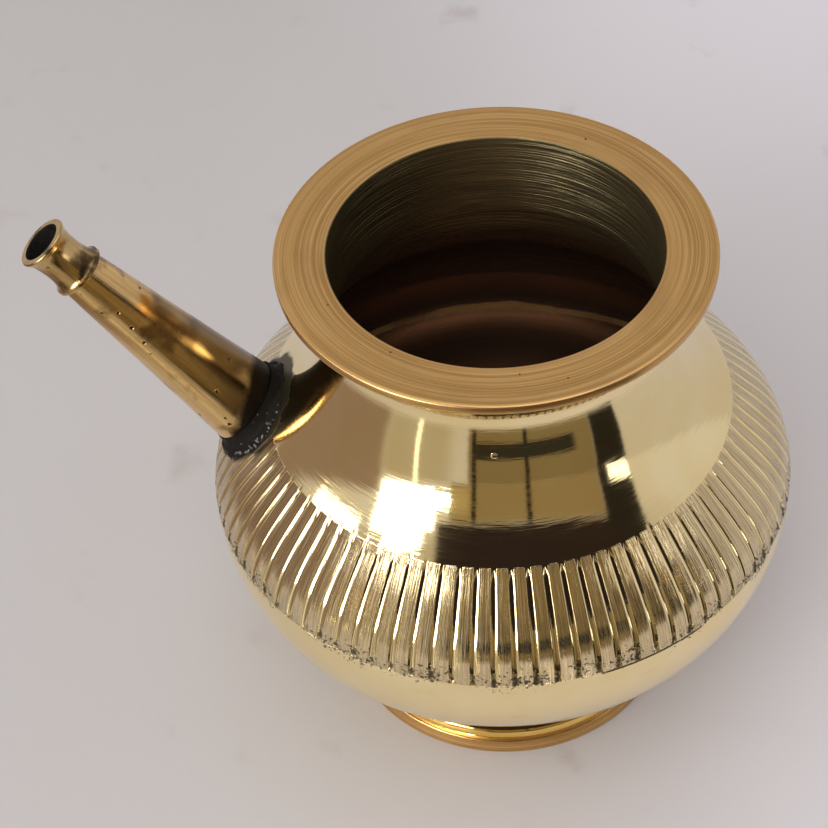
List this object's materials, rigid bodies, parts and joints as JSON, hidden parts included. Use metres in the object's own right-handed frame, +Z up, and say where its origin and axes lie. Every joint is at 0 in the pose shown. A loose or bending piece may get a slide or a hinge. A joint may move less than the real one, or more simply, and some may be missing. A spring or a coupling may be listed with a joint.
{
  "type": "spouted water pot",
  "caption": "Round-bellied brass water pot with a wide flat rim, a band of cut flutes, a straight tapering spout with a trumpet tip and a turned foot ring.",
  "frame": {"origin": "centre of the bottom of the bounding box, on the surface the foot stands on; the pot's own axis is parallel to Z at x = 0.01895 m", "axes": "+Z up along the pot's axis, the spout points towards -X, Y across"},
  "size_m": [0.1838, 0.1458, 0.1484],
  "materials": {
    "turned_brass": "lathe-turned matte",
    "polished_brass": "polished",
    "cast_brass": "cast and polished, a few pits",
    "seam_brass": "smoothed joint",
    "dark_braze": "rough, black"
  },
  "bodies": {
    "root": {"rim_ring": "turned_brass", "neck_seam": "seam_brass", "shoulder_shell": "polished_brass", "belly_seam": "seam_brass", "bowl_shell": "polished_brass", "foot_braze": "seam_brass", "foot_ring": "turned_brass", "spout_tube": "cast_brass", "spout_nozzle": "cast_brass", "spout_braze": "dark_braze", "casting_plug": "cast_brass"}
  },
  "joints": []
}
